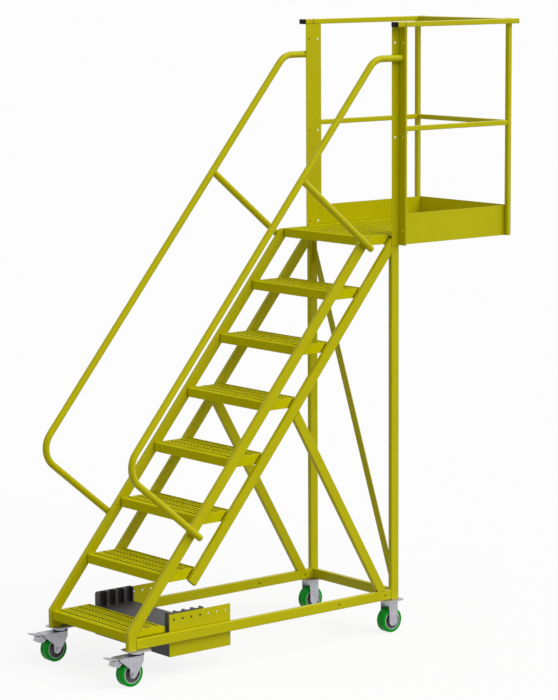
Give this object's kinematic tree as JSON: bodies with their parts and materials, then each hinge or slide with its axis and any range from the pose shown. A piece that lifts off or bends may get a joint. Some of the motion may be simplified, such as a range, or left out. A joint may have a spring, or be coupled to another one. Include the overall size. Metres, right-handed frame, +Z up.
{
  "type": "cantilever rolling ladder",
  "caption": "Yellow steel rolling stair with a railed platform cantilevered past its rear posts, counterweights in the base, swivel front casters with brakes and rigid rear casters.",
  "frame": {"origin": "on the floor, at the middle of the box around the whole ladder", "axes": "+X to the climber's right, +Y the way the climber faces, towards the platform, +Z up"},
  "size_m": [0.76, 2.6026, 3.09],
  "materials": {
    "yellow_paint": "powder coated, satin",
    "dark_grey_paint": "matt paint",
    "zinc_steel": "zinc plated",
    "green_tyre": "smooth polyurethane",
    "grey_hub": "painted casting"
  },
  "bodies": {
    "frame": {"front_legs": "yellow_paint", "base_rails": "yellow_paint", "base_rear_rail": "yellow_paint", "rear_posts": "yellow_paint", "front_stringer_left": "yellow_paint", "front_stringer_right": "yellow_paint", "rear_stringer_left": "yellow_paint", "rear_stringer_right": "yellow_paint", "side_braces": "yellow_paint", "rear_cross_brace": "yellow_paint", "step_1": "yellow_paint", "step_2": "yellow_paint", "step_3": "yellow_paint", "step_4": "yellow_paint", "step_5": "yellow_paint", "step_6": "yellow_paint", "step_7": "yellow_paint", "platform_deck": "yellow_paint", "platform_beams": "yellow_paint", "platform_bearers": "yellow_paint", "toe_board_left": "yellow_paint", "toe_board_right": "yellow_paint", "toe_board_rear": "yellow_paint", "entry_post_left": "yellow_paint", "guard_post_left": "yellow_paint", "entry_post_right": "yellow_paint", "guard_post_right": "yellow_paint", "rail_stubs": "yellow_paint", "top_rail_left": "yellow_paint", "top_rail_right": "yellow_paint", "top_rail_rear": "yellow_paint", "corner_posts": "yellow_paint", "mid_rail_left": "yellow_paint", "mid_rail_right": "yellow_paint", "mid_rail_rear": "yellow_paint", "handrail_left": "yellow_paint", "handrail_right": "yellow_paint", "handrail_struts": "yellow_paint", "counterweight_plates": "yellow_paint", "counterweights": "dark_grey_paint", "front_caster_plates": "zinc_steel", "rear_forks": "zinc_steel", "rear_axles": "zinc_steel"},
    "front_caster_left": {"front_fork_left": "zinc_steel", "brake_pedal_left": "zinc_steel", "front_axle_left": "zinc_steel"},
    "front_wheel_left": {"front_tyre_left": "green_tyre", "front_hub_left": "grey_hub"},
    "rear_wheel_left": {"rear_tyre_left": "green_tyre", "rear_hub_left": "grey_hub"},
    "front_caster_right": {"front_fork_right": "zinc_steel", "brake_pedal_right": "zinc_steel", "front_axle_right": "zinc_steel"},
    "front_wheel_right": {"front_tyre_right": "green_tyre", "front_hub_right": "grey_hub"},
    "rear_wheel_right": {"rear_tyre_right": "green_tyre", "rear_hub_right": "grey_hub"}
  },
  "joints": [
    {"name": "front_swivel_left", "type": "hinge", "parent": "frame", "child": "front_caster_left", "pos_m": [-0.3125, -1.12334, 0.155], "axis": [0, 0, 1], "continuous": true},
    {"name": "front_wheel_spin_left", "type": "hinge", "parent": "front_caster_left", "child": "front_wheel_left", "pos_m": [-0.3125, -1.16534, 0.0635], "axis": [1, 0, 0], "continuous": true},
    {"name": "rear_wheel_spin_left", "type": "hinge", "parent": "frame", "child": "rear_wheel_left", "pos_m": [-0.3125, 0.47834, 0.0635], "axis": [1, 0, 0], "continuous": true},
    {"name": "front_swivel_right", "type": "hinge", "parent": "frame", "child": "front_caster_right", "pos_m": [0.3125, -1.12334, 0.155], "axis": [0, 0, 1], "continuous": true},
    {"name": "front_wheel_spin_right", "type": "hinge", "parent": "front_caster_right", "child": "front_wheel_right", "pos_m": [0.3125, -1.16534, 0.0635], "axis": [1, 0, 0], "continuous": true},
    {"name": "rear_wheel_spin_right", "type": "hinge", "parent": "frame", "child": "rear_wheel_right", "pos_m": [0.3125, 0.47834, 0.0635], "axis": [1, 0, 0], "continuous": true}
  ]
}
